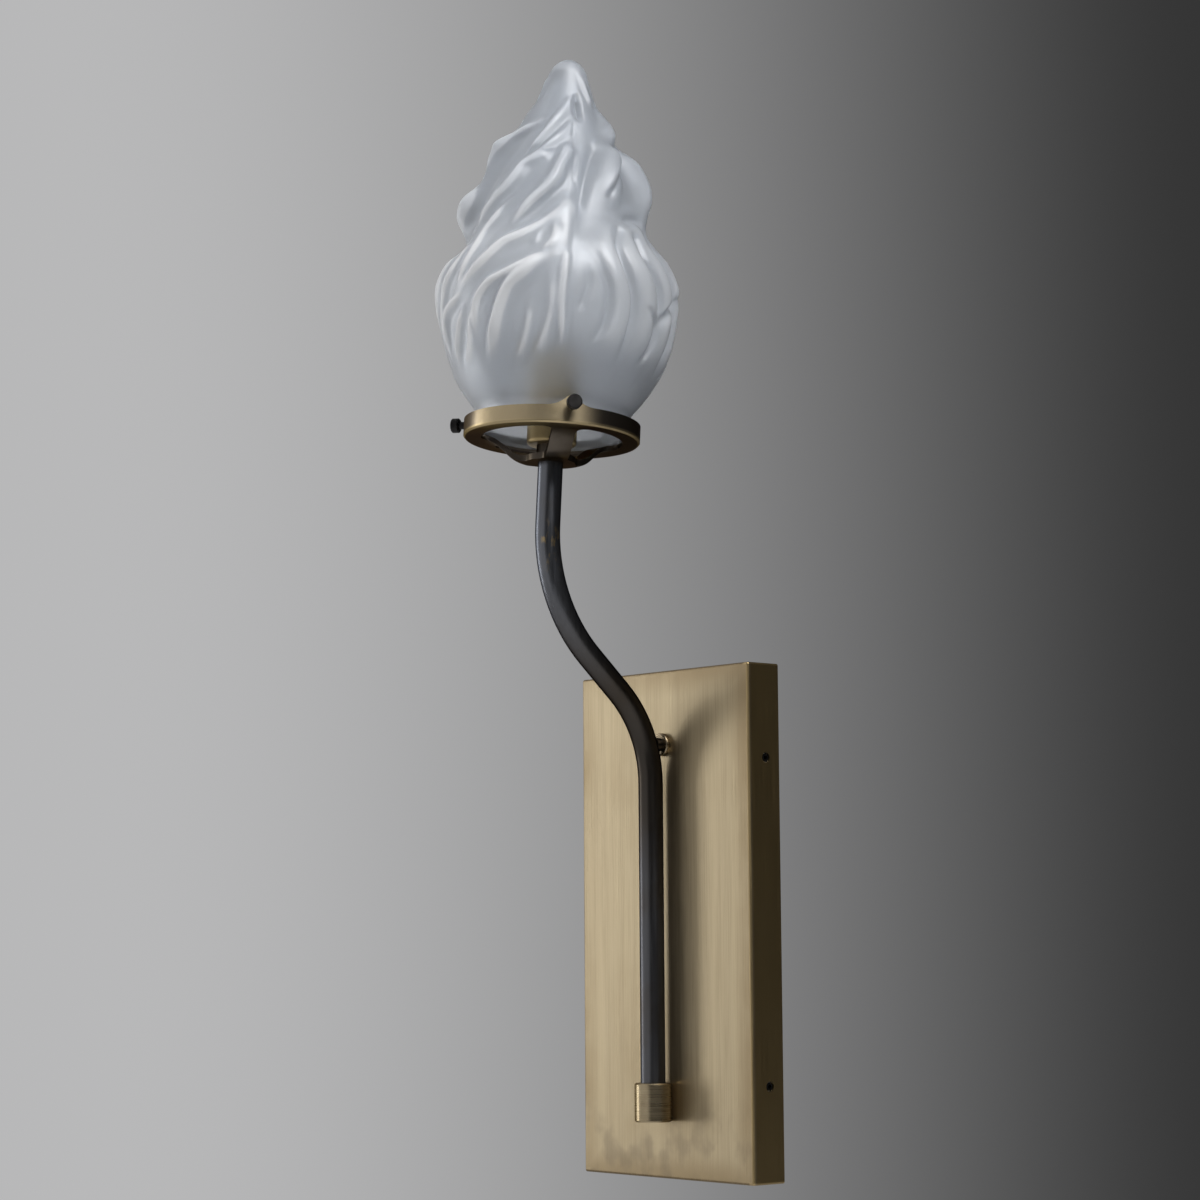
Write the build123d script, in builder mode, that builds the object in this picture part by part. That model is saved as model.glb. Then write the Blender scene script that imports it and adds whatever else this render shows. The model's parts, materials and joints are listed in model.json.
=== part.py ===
from build123d import *
from math import asin, cos, radians, sin, tan
import os

os.makedirs("parts", exist_ok=True)

# A wall sconce: a brass back box, a bent bronze arm, a cast gallery and a flame shade of frosted glass.
# Millimetres. The wall is the plane y = 0, the sconce stands out along -Y, and +Z is up.
# The origin is the middle of the back box, on the wall.

# Clearances
thread_fit = 0.05  # radial play of a screw in its thread
hole_play = 0.25  # radial play of a screw in a plain hole
slip_gap = 0.3  # between pieces that slide past each other

# Back box, a folded brass pan
box_width = 130.0
box_height = 260.0
box_depth = 21.0
box_sheet = 1.5
box_edge_radius = 1.2

# Wall bracket, a folded steel channel inside the box
bracket_height = 200.0
bracket_depth = 15.0
bracket_sheet = 1.5
bracket_bend_radius = 2.5
wall_screw_spacing_x = 80.0
wall_screw_spacing_z = 150.0
wall_screw_hole_radius = 2.6
cable_entry_radius = 10.0
cable_entry_height = -35.0

# Screws in the sides of the box
side_screw_height = 82.0
side_screw_depth = 9.1
side_screw_radius = 2.0
side_screw_length = 6.0
side_screw_recess = 0.4
side_screw_key = 2.0
side_hole_radius = 2.6

# Terminal block
terminal_width = 34.0
terminal_depth = 12.0
terminal_height = 16.0
terminal_middle = 45.0
terminal_pitch = 10.0
terminal_bore_radius = 1.5
terminal_screw_radius = 1.6
terminal_screw_length = 4.0
terminal_fixing_radius = 1.5
terminal_fixing_head_radius = 2.2
terminal_fixing_head = 1.6
terminal_edge_radius = 0.8

# Earth screw beside the terminal block, with a ring tag for its wire
earth_screw_x = 32.0
earth_screw_z = 8.0
earth_screw_radius = 1.9
earth_head_radius = 3.6
earth_head = 2.4
earth_tag_radius = 3.8
earth_tag = 0.8
earth_barrel_radius = 1.7
earth_barrel = 6.0

# Arm
tube_radius = 6.35
tube_wall = 1.2
knee_height = 98.9
knee_angle = 48.5
knee_radius = 62.0
knee_to_elbow = 93.8
elbow_radius = 80.0
elbow_to_top = 71.0
head_lean = 3.6

# Ferrule at the foot of the arm
ferrule_wall = 3.15
ferrule_height = 19.5
ferrule_top = -81.5
ferrule_flat = 0.9  # depth of the flat that seats on the box
ferrule_chamfer = 0.7
ferrule_socket = 8.0
ferrule_floor = 3.0
ferrule_shoulder = 1.8

# Threaded pipe that holds the ferrule, with its washer and nut
pipe_radius = 4.0
pipe_bore_radius = 2.8
pipe_washer_radius = 8.0
pipe_nut_width = 13.0
pipe_nut_height = 5.0
pipe_end = 2.0
washer_thickness = 1.0

# Second fixing of the arm, behind its first bend
standoff_height = 91.5
collar_radius = 6.0
collar_height = 2.6
collar_edge_radius = 1.0
stud_shoulder_radius = 3.4
stud_radius = 2.5
stud_washer_radius = 6.0
stud_nut_width = 8.0
stud_nut_height = 4.0
stud_end = 1.5

# Gallery
gallery_radius = 45.0
gallery_wall = 3.0
gallery_band = 9.0
gallery_drop = 11.5  # from the lower rim of the band down to the top of the arm
gallery_bevel = 0.8
seat_width = 6.0
seat_thickness = 2.5
spider_thickness = 3.2
spider_flat_radius = 12.5
leg_width = 12.0
leg_fillet = 5.0
hub_radius = 7.4
hub_height = 9.0
lug_rise = 5.4
lug_spread = 12.5
gallery_turn = 2.7
gallery_sides = 3

# Thumb screws
thumb_screw_radius = 1.95
thumb_screw_height = 9.3  # above the lower rim of the band
thumb_neck = 5.2
thumb_head_radius = 3.75
thumb_head = 4.1
thumb_head_chamfer = 0.5

# Lampholder
holder_radius = 12.7
holder_wall = 0.8
holder_height = 51.5
holder_edge_radius = 2.0
head_pipe_radius = 5.0
head_pipe_bore_radius = 3.6
head_pipe_down = 14.0
head_pipe_up = 1.2
head_nut_width = 14.0
head_nut_height = 3.0
insulator_gap = 0.2
insulator_recess = 2.0
lamp_bore_radius = 7.0
lamp_shell_wall = 0.4
lamp_shell_length = 21.0
lamp_shell_recess = 1.0
contact_radius = 3.6
contact_height = 2.0
contact_well = 5.0
insulator_bore_radius = 2.9

# Wires
wire_radius = 1.0
wire_half_pitch = 1.15
wire_turn_radius = 4.0
wire_sweep_radius = 9.0

# Shade: the heights are above its foot, the angles run from the front towards +X
shade_neck_gap = 2.5
shade_neck_height = 12.0
shade_wall = 3.2
solid_radius = 4 * shade_wall  # the crown is solid glass where the body is no wider than this

# The body under the tongues: how far it stands out past the neck, by height
flame_body = (
    (shade_neck_height, 0), (24.5, 9.5), (37.5, 15), (52.5, 18), (65, 19.3), (77.5, 18.3), (88, 14),
    (97, 8.5), (106, 4.3), (115, 1.5), (125, -1.5), (134, -6), (142, -10.5), (150, -14.5), (158, -18),
    (166, -21.3), (174, -24.1), (182, -26.7), (190, -29.3))
flame_tip = 200.0
crown_fullness = 0.55  # how far the round crown holds its width, of its height and of its radius

# Tongues of the flame: half width, how far the crest stands out from the body, and the angle and height
# of the root, of the bend and of the tip
flame_tongues = (
    (10, 6.0, (-50, 30), (-45, 46), (-37, 86)),
    (14, 7.5, (-52, 92), (-40, 131), (-30, 166)),
    (10, 10.0, (-58, 96), (-47, 109), (-38, 124)),
    (9, 7.5, (-52, 132), (-42, 143), (-33, 154)),
    (11, 5.0, (40, 64), (54, 86), (56, 106)),
    (15, 7.0, (74, 88), (88, 122), (104, 144)),
    (16, 11.0, (98, 88), (130, 110), (142, 144)),
    (12, 6.0, (88, 134), (112, 152), (136, 167)),
    (6, 2.0, (33, 24), (47, 46), (47, 70)),
    (6, 2.4, (54, 28), (53, 54), (55, 82)),
    (8, 2.6, (58, 26), (74, 48), (66, 90)),
    (9, 3.0, (74, 24), (87, 37), (79, 97)),
    (9, 3.2, (93, 24), (106, 38), (95, 99)),
    (9, 3.4, (110, 24), (131, 49), (108, 101)),
    (9, 3.4, (128, 24), (146, 58), (127, 96)),
    (9, 3.4, (148, 24), (160, 57), (147, 92)),
    (7, 4.2, (-24, 56), (10, 88), (52, 108)),
    (6, 3.6, (-20, 53), (2, 88), (16, 114)),
    (7, 4.4, (-18, 92), (-4, 120), (26, 138)),
    (6, 4.4, (-1, 25), (6, 70), (40, 79)),
    (7, 5.0, (12, 23), (19, 66), (44, 78)),
    (6, 3.4, (-27, 28), (-25, 58), (0, 66)),
    (6, 3.4, (-34, 30), (-24, 66), (-12, 90)),
    (8, 5.2, (16, 92), (42, 116), (54, 141)),
    (6, 3.0, (10, 138), (26, 156), (52, 172)),
    (6, 2.8, (14, 134), (30, 144), (53, 157)),
    (6, 2.6, (-32, 146), (-24, 157), (4, 161)),
)
flame_front = (-26, 126)  # the tongues between these angles come again half a turn round
tongue_shares = (0.0, 0.3, 0.6, 0.85, 1.0)
tongue_widths = (0.4, 0.85, 1.0, 0.9, 0.5)
tongue_lifts = (0.0, 0.6, 0.9, 1.0, 0.3)
tongue_sink = 0.3  # how far both ends dive into the body, of the half width
tongue_depth = 0.75  # of a section's half width
tongue_keel = 0.7  # how much deeper a section is set, of its rise
spine_step = 0.02


# Places worked out from the sizes
box_front = -box_depth
box_inside = box_front + box_sheet
ferrule_radius = tube_radius + ferrule_wall
run_y = box_front - ferrule_radius + ferrule_flat
ferrule_bottom = ferrule_top - ferrule_height
arm_foot = ferrule_top - ferrule_socket
chamber_radius = tube_radius - ferrule_shoulder
chamber_bottom = ferrule_bottom + ferrule_floor
pipe_height = (arm_foot + chamber_bottom) / 2
terminal_y = -bracket_sheet - terminal_depth / 2
wire_drop = 2 * terminal_height

knee = Vector(0, run_y, knee_height)
diagonal = Vector(0, -sin(radians(knee_angle)), cos(radians(knee_angle)))
elbow = knee + diagonal * knee_to_elbow
head_axis = Vector(0, sin(radians(head_lean)), cos(radians(head_lean)))
arm_top = elbow + head_axis * elbow_to_top

# The head's own planes: its foot on the arm, and a section through its axis
head = Plane(origin=arm_top, x_dir=(1, 0, 0), z_dir=head_axis)
head_section = Plane(origin=arm_top, x_dir=(1, 0, 0), z_dir=-head.y_dir)
head_line = Axis(arm_top, head_axis)
first_lug = gallery_turn - 90.0 + 180.0 / gallery_sides

# Where the arm's centre line stands in front of the second fixing
knee_start = knee_height - knee_radius * tan(radians(knee_angle / 2))
standoff_slope = asin((standoff_height - knee_start) / knee_radius)
standoff_arm = run_y - knee_radius * (1 - cos(standoff_slope))

seat_height = gallery_drop + seat_thickness
neck_radius = gallery_radius - gallery_wall - shade_neck_gap
screw_axis_height = gallery_drop + thumb_screw_height
holder_top = hub_height + holder_height


def write(piece, name):
    """Name a finished piece and write it as one file."""
    piece.part.label = name
    export_step(piece.part, f"parts/{name}.step")


def lug_plane(index):
    """Plane through the head's axis at a lug, facing outwards at the height of its thumb screw."""
    angle = radians(first_lug + index * 360.0 / gallery_sides)
    outward = head.x_dir * cos(angle) + head.y_dir * sin(angle)
    along = head.y_dir * cos(angle) - head.x_dir * sin(angle)
    return Plane(origin=arm_top + head_axis * screw_axis_height, x_dir=along, z_dir=outward)


def wire_path(side):
    """Points of a wire from the terminal block, down the box, through the pipe and up the arm."""
    lane = side * wire_half_pitch
    turn_y = (-bracket_sheet + box_inside + washer_thickness + pipe_nut_height + pipe_end) / 2
    end = arm_top + head_axis * (insulator_bottom + contact_well)
    return [
        (side * terminal_pitch, terminal_y, terminal_middle - terminal_height / 2 + terminal_bore_radius),
        (side * terminal_pitch, terminal_y, terminal_middle - wire_drop),
        (lane, turn_y, pipe_height + wire_drop),
        (lane, turn_y, pipe_height),
        (lane, run_y, pipe_height),
        (lane, knee.Y, knee.Z),
        (lane, elbow.Y, elbow.Z),
        (lane, end.Y, end.Z),
    ]


# The brass pan
with BuildPart() as backplate_cover:
    with BuildSketch(Plane.XZ):
        Rectangle(box_width, box_height)
    extrude(amount=box_depth)
    fillet(backplate_cover.edges().filter_by(Axis.Y), box_edge_radius)
    fillet(backplate_cover.faces().sort_by(Axis.Y)[0].edges(), box_edge_radius)
    offset(amount=-box_sheet, openings=backplate_cover.faces().sort_by(Axis.Y)[-1])
    with BuildSketch(Plane.XZ):
        with Locations((0, pipe_height)):
            Circle(pipe_radius + hole_play)
        with Locations((0, standoff_height)):
            Circle(stud_radius + hole_play)
    extrude(amount=box_depth, mode=Mode.SUBTRACT)
    with BuildSketch(Plane.YZ):
        with Locations((-side_screw_depth, side_screw_height), (-side_screw_depth, -side_screw_height)):
            Circle(side_hole_radius)
    extrude(amount=box_width, both=True, mode=Mode.SUBTRACT)
write(backplate_cover, "backplate_cover")

# The channel on the wall
bracket_width = box_width - 2 * (box_sheet + slip_gap)
with BuildPart() as wall_bracket:
    with BuildSketch(Plane.XY.offset(-bracket_height / 2)) as channel:
        with Locations((0, -bracket_depth / 2)):
            Rectangle(bracket_width, bracket_depth)
        fillet(channel.vertices().group_by(Axis.Y)[-1], bracket_bend_radius)
        with Locations((0, -bracket_sheet - bracket_depth / 2)):
            Rectangle(bracket_width - 2 * bracket_sheet, bracket_depth, mode=Mode.SUBTRACT)
    extrude(amount=bracket_height)
    with BuildSketch(Plane.XZ):
        with GridLocations(wall_screw_spacing_x, wall_screw_spacing_z, 2, 2):
            Circle(wall_screw_hole_radius)
        with Locations((0, cable_entry_height)):
            Circle(cable_entry_radius)
        with Locations((earth_screw_x, earth_screw_z)):
            Circle(earth_screw_radius + thread_fit)
        with GridLocations(terminal_pitch, 0, 2, 1):
            with Locations((0, terminal_middle)):
                Circle(terminal_fixing_radius + thread_fit)
    extrude(amount=bracket_sheet, mode=Mode.SUBTRACT)
    with BuildSketch(Plane.YZ):
        with Locations((-side_screw_depth, side_screw_height), (-side_screw_depth, -side_screw_height)):
            Circle(side_screw_radius + thread_fit)
    extrude(amount=bracket_width, both=True, mode=Mode.SUBTRACT)
write(wall_bracket, "wall_bracket")

# Four headless screws with a hexagon key socket
side_screw_end = box_width / 2 - side_screw_recess
with BuildPart() as cover_side_screws:
    for side in (-1, 1):
        screw_face = Plane(origin=(side * side_screw_end, 0, 0), x_dir=(0, 1, 0), z_dir=(side, 0, 0))
        with BuildSketch(screw_face):
            with GridLocations(0, 2 * side_screw_height, 1, 2):
                with Locations((-side_screw_depth, 0)):
                    Circle(side_screw_radius)
        extrude(amount=-side_screw_length)
        with BuildSketch(screw_face):
            with GridLocations(0, 2 * side_screw_height, 1, 2):
                with Locations((-side_screw_depth, 0)):
                    RegularPolygon(side_screw_key / 2, 6, major_radius=False)
        extrude(amount=-side_screw_length / 2, mode=Mode.SUBTRACT)
write(cover_side_screws, "cover_side_screws")

# Three-way terminal block: wires enter from above and below, clamp screws from the front
terminal_front = Plane.XZ.offset(bracket_sheet + terminal_depth)
with BuildPart() as terminal_block:
    with BuildSketch(Plane.XZ.offset(bracket_sheet)):
        with Locations((0, terminal_middle)):
            RectangleRounded(terminal_width, terminal_height, terminal_edge_radius)
    extrude(amount=terminal_depth)
    with BuildSketch(Plane.XY.offset(terminal_middle - terminal_height / 2)):
        with Locations((0, terminal_y)):
            with GridLocations(terminal_pitch, 0, 3, 1):
                Circle(terminal_bore_radius)
    extrude(amount=terminal_height, mode=Mode.SUBTRACT)
    with BuildSketch(terminal_front):
        with Locations((0, terminal_middle)):
            with GridLocations(terminal_pitch, terminal_height / 2, 3, 2):
                Circle(terminal_screw_radius + thread_fit)
    extrude(amount=-terminal_depth / 2, mode=Mode.SUBTRACT)
    with BuildSketch(Plane.XZ.offset(bracket_sheet)):
        with Locations((0, terminal_middle)):
            with GridLocations(terminal_pitch, 0, 2, 1):
                Circle(terminal_fixing_radius + hole_play)
    extrude(amount=terminal_depth, mode=Mode.SUBTRACT)
write(terminal_block, "terminal_block")

with BuildPart() as terminal_screws:
    with BuildSketch(terminal_front.offset(-terminal_screw_length)):
        with Locations((0, terminal_middle)):
            with GridLocations(terminal_pitch, terminal_height / 2, 3, 2):
                Circle(terminal_screw_radius)
    extrude(amount=terminal_screw_length)
write(terminal_screws, "terminal_screws")

with BuildPart() as terminal_block_screws:
    with BuildSketch(Plane.XZ):
        with Locations((0, terminal_middle)):
            with GridLocations(terminal_pitch, 0, 2, 1):
                Circle(terminal_fixing_radius)
    extrude(amount=bracket_sheet + terminal_depth)
    with BuildSketch(terminal_front):
        with Locations((0, terminal_middle)):
            with GridLocations(terminal_pitch, 0, 2, 1):
                Circle(terminal_fixing_head_radius)
    extrude(amount=terminal_fixing_head)
write(terminal_block_screws, "terminal_block_screws")

# The earth screw, and the ring tag that it clamps to the bracket
tag_seat = Plane.XZ.offset(bracket_sheet)
with BuildPart() as earth_screw:
    with BuildSketch(Plane.XZ):
        with Locations((earth_screw_x, earth_screw_z)):
            Circle(earth_screw_radius)
    extrude(amount=bracket_sheet + earth_tag)
    with BuildSketch(tag_seat.offset(earth_tag)):
        with Locations((earth_screw_x, earth_screw_z)):
            Circle(earth_head_radius)
    extrude(amount=earth_head)
write(earth_screw, "earth_screw")

barrel_start = earth_screw_x - earth_tag_radius
barrel_end = barrel_start - earth_barrel
barrel_y = -bracket_sheet - earth_barrel_radius
with BuildPart() as earth_tag_ring:
    with BuildSketch(tag_seat):
        with Locations((earth_screw_x, earth_screw_z)):
            Circle(earth_tag_radius)
        with Locations((barrel_start, earth_screw_z)):
            Rectangle(earth_tag_radius, 2 * earth_barrel_radius)
        with Locations((earth_screw_x, earth_screw_z)):
            Circle(earth_screw_radius + hole_play, mode=Mode.SUBTRACT)
    extrude(amount=earth_tag)
    with BuildSketch(Plane(origin=(barrel_end, barrel_y, earth_screw_z), x_dir=(0, 1, 0), z_dir=(1, 0, 0))):
        Circle(earth_barrel_radius)
    extrude(amount=earth_barrel)
    with BuildSketch(Plane(origin=(barrel_end, barrel_y, earth_screw_z), x_dir=(0, 1, 0), z_dir=(1, 0, 0))):
        Circle(wire_radius + thread_fit)
    extrude(amount=earth_barrel, mode=Mode.SUBTRACT)
write(earth_tag_ring, "earth_tag")

# The bent tube, with a small hole in its back for the stud
tube_bore_radius = tube_radius - tube_wall
stud_tip = standoff_arm + tube_radius / cos(standoff_slope) - tube_wall / 2
with BuildPart() as arm_tube:
    with BuildLine() as arm_path:
        FilletPolyline((0, run_y, arm_foot), knee, elbow, arm_top, radius=(knee_radius, elbow_radius))
    with BuildSketch(Plane.XY.offset(arm_foot)):
        with Locations((0, run_y)):
            Circle(tube_radius)
            Circle(tube_bore_radius, mode=Mode.SUBTRACT)
    sweep()
    with BuildSketch(Plane.XZ.offset(-box_front)):
        with Locations((0, standoff_height)):
            Circle(stud_shoulder_radius + thread_fit)
    extrude(amount=box_front - stud_tip, mode=Mode.SUBTRACT)
write(arm_tube, "arm_tube")

# The turned cup at the foot of the arm, with a flat on the box
with BuildPart() as arm_ferrule:
    with BuildSketch(Plane.XY.offset(ferrule_bottom)):
        with Locations((0, run_y)):
            Circle(ferrule_radius)
    extrude(amount=ferrule_height)
    chamfer(arm_ferrule.edges().filter_by(GeomType.CIRCLE), ferrule_chamfer)
    with BuildSketch(Plane.XY.offset(ferrule_top)):
        with Locations((0, run_y)):
            Circle(tube_radius + thread_fit)
    extrude(amount=-ferrule_socket, mode=Mode.SUBTRACT)
    with BuildSketch(Plane.XY.offset(arm_foot)):
        with Locations((0, run_y)):
            Circle(chamber_radius)
    extrude(amount=chamber_bottom - arm_foot, mode=Mode.SUBTRACT)
    with BuildSketch(Plane.XZ.offset(-box_front)):
        with Locations((0, pipe_height)):
            Circle(pipe_radius + thread_fit)
    extrude(amount=box_front - run_y, mode=Mode.SUBTRACT)
    split(bisect_by=Plane.XZ.offset(-box_front), keep=Keep.TOP)
write(arm_ferrule, "arm_ferrule")

# The hollow pipe from the ferrule into the box, with its washer and nut
pipe_inside = box_inside + washer_thickness + pipe_nut_height + pipe_end
pipe_outside = run_y + chamber_radius
with BuildPart() as ferrule_pipe:
    with BuildSketch(Plane.XZ.offset(-pipe_inside)):
        with Locations((0, pipe_height)):
            Circle(pipe_radius)
            Circle(pipe_bore_radius, mode=Mode.SUBTRACT)
    extrude(amount=pipe_inside - pipe_outside)
write(ferrule_pipe, "ferrule_pipe")


def washer(height, radius, hole):
    """Flat washer against the inside of the box."""
    with BuildPart() as ring:
        with BuildSketch(Plane.XZ.offset(-box_inside)):
            with Locations((0, height)):
                Circle(radius)
                Circle(hole + hole_play, mode=Mode.SUBTRACT)
        extrude(amount=-washer_thickness)
    return ring


def nut(plane, width, height, hole):
    """Hexagon nut that stands on a plane."""
    with BuildPart() as body:
        with BuildSketch(plane):
            RegularPolygon(width / 2, 6, major_radius=False)
            Circle(hole + thread_fit, mode=Mode.SUBTRACT)
        extrude(amount=height)
    return body


nut_seat = box_inside + washer_thickness
write(washer(pipe_height, pipe_washer_radius, pipe_radius), "ferrule_washer")
pipe_nut_plane = Plane(origin=(0, nut_seat, pipe_height), x_dir=(1, 0, 0), z_dir=(0, 1, 0))
write(nut(pipe_nut_plane, pipe_nut_width, pipe_nut_height, pipe_radius), "ferrule_nut")

# The collar, stud, washer and nut behind the first bend
with BuildPart() as standoff_collar:
    with BuildSketch(Plane.XZ.offset(-box_front)):
        with Locations((0, standoff_height)):
            Circle(collar_radius)
            Circle(stud_radius + hole_play, mode=Mode.SUBTRACT)
    extrude(amount=collar_height)
    fillet(standoff_collar.faces().sort_by(Axis.Y)[0].outer_wire().edges(), collar_edge_radius)
write(standoff_collar, "standoff_collar")

stud_inside = nut_seat + stud_nut_height + stud_end
collar_face = box_front - collar_height
with BuildPart() as standoff_stud:
    with BuildSketch(Plane.XZ.offset(-stud_inside)):
        with Locations((0, standoff_height)):
            Circle(stud_radius)
    extrude(amount=stud_inside - collar_face)
    with BuildSketch(Plane.XZ.offset(-collar_face)):
        with Locations((0, standoff_height)):
            Circle(stud_shoulder_radius)
    extrude(amount=collar_face - stud_tip)
write(standoff_stud, "standoff_stud")
write(washer(standoff_height, stud_washer_radius, stud_radius), "standoff_washer")
stud_nut_plane = Plane(origin=(0, nut_seat, standoff_height), x_dir=(1, 0, 0), z_dir=(0, 1, 0))
write(nut(stud_nut_plane, stud_nut_width, stud_nut_height, stud_radius), "standoff_nut")

# The cast gallery: a banded ring with a seat, a dished spider of three legs, a hub and three lugs
band_inner = gallery_radius - gallery_wall
seat_inner = band_inner - seat_width
band_top = gallery_drop + gallery_band
band_bottom = gallery_drop + gallery_bevel
lug_foot = gallery_band - thumb_screw_height
lug_sink = lug_foot - gallery_bevel
lug_start = band_inner - gallery_wall
lug_reach = 3 * gallery_wall
with BuildPart() as gallery:
    with BuildSketch(head_section):
        with BuildLine():
            lower = Spline((seat_inner, gallery_drop), (spider_flat_radius, 0), tangents=((-1, 0), (-1, 0)))
            hub = Polyline(lower @ 1, (0, 0), (0, hub_height), (hub_radius, hub_height),
                           (hub_radius, spider_thickness), (spider_flat_radius, spider_thickness))
            upper = Spline(hub @ 1, (seat_inner, seat_height), tangents=((1, 0), (1, 0)))
            Polyline(upper @ 1, (band_inner, seat_height), (band_inner, band_top),
                     (gallery_radius, band_top), (gallery_radius, band_bottom),
                     (gallery_radius - gallery_bevel, gallery_drop), lower @ 0)
        make_face()
    revolve(axis=head_line)
    with BuildSketch(head) as windows:
        Circle(seat_inner)
        Circle(spider_flat_radius, mode=Mode.SUBTRACT)
        with PolarLocations(seat_inner / 2, gallery_sides, start_angle=first_lug):
            Rectangle(seat_inner, leg_width, mode=Mode.SUBTRACT)
        fillet(windows.vertices(), leg_fillet)
    extrude(amount=seat_height, mode=Mode.SUBTRACT)
    with BuildSketch(head.offset(band_bottom)):
        Circle(gallery_radius)
        Circle(band_inner, mode=Mode.SUBTRACT)
    band = extrude(amount=gallery_band + lug_rise, mode=Mode.PRIVATE)
    for index in range(gallery_sides):
        with BuildSketch(lug_plane(index).offset(lug_start)):
            with BuildLine():
                crest = Spline((-lug_spread, lug_foot), (0, lug_foot + lug_rise), (lug_spread, lug_foot),
                               tangents=((1, 0), (1, 0)))
                Polyline(crest @ 1, (lug_spread, lug_sink), (-lug_spread, lug_sink), crest @ 0)
            make_face()
        lug_block = extrude(amount=lug_reach, mode=Mode.PRIVATE)
        add(lug_block & band)
    for index in range(gallery_sides):
        with BuildSketch(lug_plane(index).offset(lug_start)):
            Circle(thumb_screw_radius + thread_fit)
        extrude(amount=lug_reach, mode=Mode.SUBTRACT)
    with BuildSketch(head):
        Circle(head_pipe_radius + thread_fit)
    extrude(amount=hub_height, mode=Mode.SUBTRACT)
write(gallery, "gallery")

# The thumb screws: a threaded shank, a neck and a round head
screw_tip = neck_radius + slip_gap
head_start = gallery_radius + thumb_neck
for index, name in enumerate(("thumb_screw_right", "thumb_screw_rear", "thumb_screw_left")):
    plane = lug_plane(index)
    with BuildPart() as thumb_screw:
        with BuildSketch(plane.offset(screw_tip)):
            Circle(thumb_screw_radius)
        extrude(amount=head_start - screw_tip)
        with BuildSketch(plane.offset(head_start)):
            Circle(thumb_head_radius)
        extrude(amount=thumb_head)
        chamfer(thumb_screw.edges().filter_by(lambda e: e.geom_type == GeomType.CIRCLE
                and abs(e.radius - thumb_head_radius) < thread_fit), thumb_head_chamfer)
    write(thumb_screw, name)

# The lampholder: a brass cup, a pipe and nut, an insulator, a lamp thread and a contact
with BuildPart() as lampholder_cup:
    with BuildSketch(head.offset(hub_height)):
        Circle(holder_radius)
    extrude(amount=holder_height)
    cup_ends = lampholder_cup.faces().filter_by(GeomType.PLANE).sort_by(Axis.Z)
    fillet(cup_ends[0].edges(), holder_edge_radius)
    offset(amount=-holder_wall, openings=cup_ends[-1])
    with BuildSketch(head.offset(hub_height)):
        Circle(head_pipe_radius + hole_play)
    extrude(amount=holder_wall, mode=Mode.SUBTRACT)
write(lampholder_cup, "lampholder_cup")

head_nut_seat = hub_height + holder_wall
head_pipe_top = head_nut_seat + head_nut_height + head_pipe_up
with BuildPart() as head_pipe:
    with BuildSketch(head.offset(-head_pipe_down)):
        Circle(head_pipe_radius)
        Circle(head_pipe_bore_radius, mode=Mode.SUBTRACT)
    extrude(amount=head_pipe_down + head_pipe_top)
write(head_pipe, "head_pipe")
write(nut(head.offset(head_nut_seat), head_nut_width, head_nut_height, head_pipe_radius), "head_nut")

insulator_bottom = head_pipe_top + slip_gap
insulator_top = holder_top - insulator_recess
shell_top = insulator_top - lamp_shell_recess
well_floor = shell_top - lamp_shell_length - contact_well
shell_radius = lamp_bore_radius + lamp_shell_wall
with BuildPart() as lampholder_insulator:
    with BuildSketch(head.offset(insulator_bottom)):
        Circle(holder_radius - holder_wall - insulator_gap)
        Circle(insulator_bore_radius, mode=Mode.SUBTRACT)
    extrude(amount=insulator_top - insulator_bottom)
    with BuildSketch(head.offset(well_floor)):
        Circle(shell_radius + thread_fit)
    extrude(amount=insulator_top - well_floor, mode=Mode.SUBTRACT)
write(lampholder_insulator, "lampholder_insulator")

with BuildPart() as lampholder_thread_shell:
    with BuildSketch(head.offset(shell_top - lamp_shell_length)):
        Circle(shell_radius)
        Circle(lamp_bore_radius, mode=Mode.SUBTRACT)
    extrude(amount=lamp_shell_length)
write(lampholder_thread_shell, "lampholder_thread_shell")

with BuildPart() as lampholder_contact:
    with BuildSketch(head.offset(well_floor)):
        Circle(contact_radius)
    extrude(amount=contact_height)
    fillet(lampholder_contact.faces().sort_by(Axis.Z)[-1].edges(), contact_height / 2)
write(lampholder_contact, "lampholder_contact")

# The two wires
for side, name in ((-1, "live_wire"), (1, "neutral_wire")):
    points = wire_path(side)
    with BuildPart() as wire:
        with BuildLine() as route:
            FilletPolyline(*points, radius=(wire_sweep_radius, wire_sweep_radius, wire_turn_radius,
                                            wire_turn_radius, knee_radius, elbow_radius))
        with BuildSketch(Plane(origin=route.wire() @ 0, z_dir=route.wire() % 0)):
            Circle(wire_radius)
        sweep()
    write(wire, name)

# The earth wire, from the middle terminal to the ring tag
with BuildPart() as earth_wire:
    with BuildLine() as earth_route:
        FilletPolyline(
            (0, terminal_y, terminal_middle - terminal_height / 2 + terminal_bore_radius),
            (0, terminal_y, earth_screw_z + terminal_height / 2),
            (earth_barrel, barrel_y, earth_screw_z),
            (barrel_end + earth_barrel / 2, barrel_y, earth_screw_z),
            radius=(wire_turn_radius, wire_turn_radius))
    with BuildSketch(Plane(origin=earth_route.wire() @ 0, z_dir=earth_route.wire() % 0)):
        Circle(wire_radius)
    sweep()
write(earth_wire, "earth_wire")


def body_radius(height):
    """Radius of the flame's body, between its given heights."""
    for (low, a), (high, b) in zip(flame_body, flame_body[1:]):
        if height <= high:
            share = max(0.0, (height - low) / (high - low))
            return neck_radius + a + (b - a) * share
    return neck_radius + flame_body[-1][1]


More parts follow.
